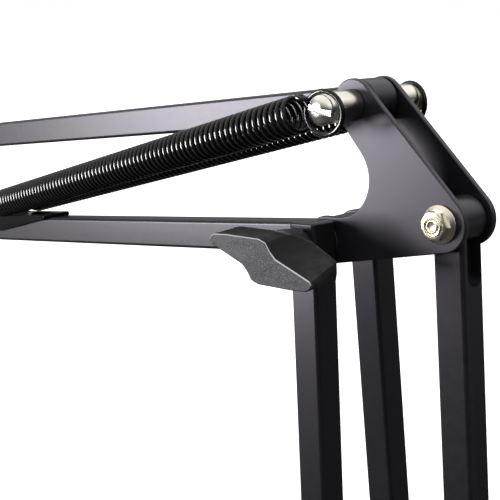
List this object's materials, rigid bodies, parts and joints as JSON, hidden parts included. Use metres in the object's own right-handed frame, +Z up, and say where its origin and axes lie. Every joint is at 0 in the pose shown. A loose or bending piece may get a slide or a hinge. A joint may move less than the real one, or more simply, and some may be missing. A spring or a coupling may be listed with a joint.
{
  "type": "boom microphone stand",
  "caption": "Desk-clamp boom arm of square steel tubes: spring-balanced parallelogram arms carry a tilting threaded microphone stud.",
  "frame": {"origin": "centre of the clamp's upper seat, on the base's pan axis, where it rests on the desk top", "axes": "+Z up along the pan axis; the arm reaches towards -X; every arm pivot lies along Y, with the wing knobs on the -Y side"},
  "size_m": [0.502, 0.0897, 0.6226],
  "materials": {
    "black_steel": "satin black powder coat, fine texture",
    "black_tube": "satin black paint on square tube",
    "spring_black": "gloss black coated spring wire",
    "plated_steel": "nickel plate, softly polished",
    "knob_black": "moulded black plastic, pebbled faces",
    "pad_rubber": "matt black rubber"
  },
  "bodies": {
    "clamp": {"clamp_frame": "black_steel", "clamp_seat_pad": "pad_rubber"},
    "pressure_plate": {"clamp_pressure_plate": "black_steel"},
    "clamp_screw": {"clamp_screw": "plated_steel", "clamp_handle_bar": "plated_steel"},
    "socket_screw": {"socket_thumbscrew": "knob_black"},
    "turret": {"spigot": "plated_steel", "turret_block": "black_steel", "turret_rivet": "plated_steel", "base_plate_front": "black_steel", "base_plate_rear": "black_steel", "base_spacer_front": "plated_steel", "base_spacer_rear": "plated_steel", "base_spring_pin": "plated_steel", "base_pair_bolt": "plated_steel", "base_pair_nut": "plated_steel", "base_back_bolt": "plated_steel", "base_back_nut": "plated_steel"},
    "lower_pair": {"lower_bar_front": "black_tube", "lower_bar_rear": "black_tube", "lower_cross_pin": "plated_steel"},
    "lower_back": {"lower_bar_back": "black_tube"},
    "elbow": {"elbow_plate_front": "black_steel", "elbow_plate_rear": "black_steel", "elbow_top_pin": "plated_steel", "elbow_post_front": "plated_steel", "elbow_post_rear": "plated_steel", "elbow_screw_front": "plated_steel", "elbow_screw_rear": "plated_steel", "elbow_washer_front": "plated_steel", "elbow_washer_rear": "plated_steel", "elbow_back_bolt": "plated_steel", "elbow_back_nut": "plated_steel", "elbow_clamp_bolt": "plated_steel"},
    "elbow_knob": {"elbow_wing_knob": "knob_black"},
    "upper_bottom": {"upper_bar_bottom": "black_tube", "spring_saddle": "black_steel", "saddle_pin": "plated_steel"},
    "upper_top": {"upper_bar_top": "black_tube"},
    "head": {"head_plate_front": "black_steel", "head_plate_rear": "black_steel", "head_bolt_top": "plated_steel", "head_nut_top": "plated_steel", "head_bolt_bottom": "plated_steel", "head_nut_bottom": "plated_steel"},
    "mic_swivel": {"mic_swivel_block": "black_steel", "mic_stud": "plated_steel", "mic_lock_ring": "plated_steel"},
    "mic_knob": {"mic_knob": "knob_black"},
    "upper_springs": {"upper_spring_front": "spring_black", "upper_spring_rear": "spring_black"},
    "upper_plugs": {"upper_plug_front": "plated_steel", "upper_plug_rear": "plated_steel"},
    "upper_hooks": {"upper_hook_front": "plated_steel", "upper_hook_rear": "plated_steel"},
    "lower_springs": {"lower_spring_front": "spring_black", "lower_spring_rear": "spring_black"},
    "lower_hooks": {"lower_hook_front": "plated_steel", "lower_hook_rear": "plated_steel"}
  },
  "joints": [
    {"name": "base_pan", "type": "hinge", "parent": "clamp", "child": "turret", "pos_m": [0, 0, 0.042], "axis": [0, 0, 1], "continuous": true},
    {"name": "clamp_travel", "type": "slide", "parent": "clamp", "child": "pressure_plate", "axis": [0, 0, 1], "range_m": [-0.0205, 0.0305]},
    {"name": "clamp_turn", "type": "hinge", "parent": "pressure_plate", "child": "clamp_screw", "pos_m": [0, 0, -0.035], "axis": [0, 0, 1], "range_deg": [-4800, 7200]},
    {"name": "socket_screw_turn", "type": "hinge", "parent": "clamp", "child": "socket_screw", "pos_m": [0, -0.02, 0.022], "axis": [0, 1, 0], "range_deg": [-720, 0]},
    {"name": "lower_arm", "type": "hinge", "parent": "turret", "child": "lower_pair", "pos_m": [-0.022, 0, 0.078], "axis": [0, 1, 0], "range_deg": [-40, 20]},
    {"name": "lower_back_turn", "type": "hinge", "parent": "turret", "child": "lower_back", "pos_m": [0.032, 0, 0.0926], "axis": [0, 1, 0], "range_deg": [-41, 21]},
    {"name": "elbow_turn", "type": "hinge", "parent": "lower_pair", "child": "elbow", "pos_m": [-0.05644, 0, 0.43635], "axis": [0, 1, 0], "range_deg": [-21, 41]},
    {"name": "elbow_knob_turn", "type": "hinge", "parent": "elbow", "child": "elbow_knob", "pos_m": [-0.05644, 0, 0.43635], "axis": [0, 1, 0], "range_deg": [-360, 0]},
    {"name": "upper_arm", "type": "hinge", "parent": "elbow", "child": "upper_bottom", "pos_m": [-0.05644, 0, 0.43635], "axis": [0, 1, 0], "range_deg": [-30, 35]},
    {"name": "upper_top_turn", "type": "hinge", "parent": "elbow", "child": "upper_top", "pos_m": [-0.04454, 0, 0.49145], "axis": [0, 1, 0], "range_deg": [-31, 36]},
    {"name": "head_turn", "type": "hinge", "parent": "upper_bottom", "child": "head", "pos_m": [-0.41298, 0, 0.38656], "axis": [0, 1, 0], "range_deg": [-36, 31]},
    {"name": "mic_tilt", "type": "hinge", "parent": "head", "child": "mic_swivel", "pos_m": [-0.44298, 0, 0.40856], "axis": [0, 1, 0], "range_deg": [-10, 100]},
    {"name": "mic_knob_turn", "type": "hinge", "parent": "head", "child": "mic_knob", "pos_m": [-0.44298, 0, 0.40856], "axis": [0, 1, 0], "range_deg": [-360, 0]},
    {"name": "upper_spring_swing", "type": "hinge", "parent": "elbow", "child": "upper_springs", "pos_m": [-0.04454, 0, 0.49145], "axis": [0, 1, 0], "range_deg": [-28.3, 32.85]},
    {"name": "upper_spring_stretch", "type": "slide", "parent": "upper_springs", "child": "upper_plugs", "axis": [-0.9598, 0, -0.2808], "range_m": [-0.034, 0.029], "deforming": ["upper_spring_front", "upper_spring_rear"]},
    {"name": "upper_hook_swing", "type": "hinge", "parent": "upper_bottom", "child": "upper_hooks", "pos_m": [-0.30685, 0, 0.41471], "axis": [0, 1, 0], "range_deg": [-6, 6]},
    {"name": "lower_spring_swing", "type": "hinge", "parent": "turret", "child": "lower_springs", "pos_m": [0.002, 0, 0.086], "axis": [0, 1, 0], "range_deg": [-40.6, 20.8]},
    {"name": "lower_spring_stretch", "type": "slide", "parent": "lower_springs", "child": "lower_hooks", "axis": [-0.2268, 0, 0.9739], "range_m": [-0.01, 0.019], "deforming": ["lower_spring_front", "lower_spring_rear"]}
  ],
  "couplings": [
    {"joint": "clamp_travel", "follows": "clamp_turn", "m_per_rad": 0.00023873},
    {"joint": "lower_back_turn", "follows": "lower_arm", "ratio": 1},
    {"joint": "elbow_turn", "follows": "lower_arm", "ratio": -1},
    {"joint": "upper_top_turn", "follows": "upper_arm", "ratio": 1},
    {"joint": "head_turn", "follows": "upper_arm", "ratio": -1},
    {"joint": "upper_spring_swing", "follows": "upper_arm", "ratio": 0.91},
    {"joint": "upper_spring_stretch", "follows": "upper_arm", "m_per_rad": -0.0495},
    {"joint": "upper_hook_swing", "follows": "upper_arm", "ratio": -0.09},
    {"joint": "lower_spring_swing", "follows": "lower_arm", "ratio": 0.99},
    {"joint": "lower_spring_stretch", "follows": "lower_arm", "m_per_rad": -0.024}
  ]
}
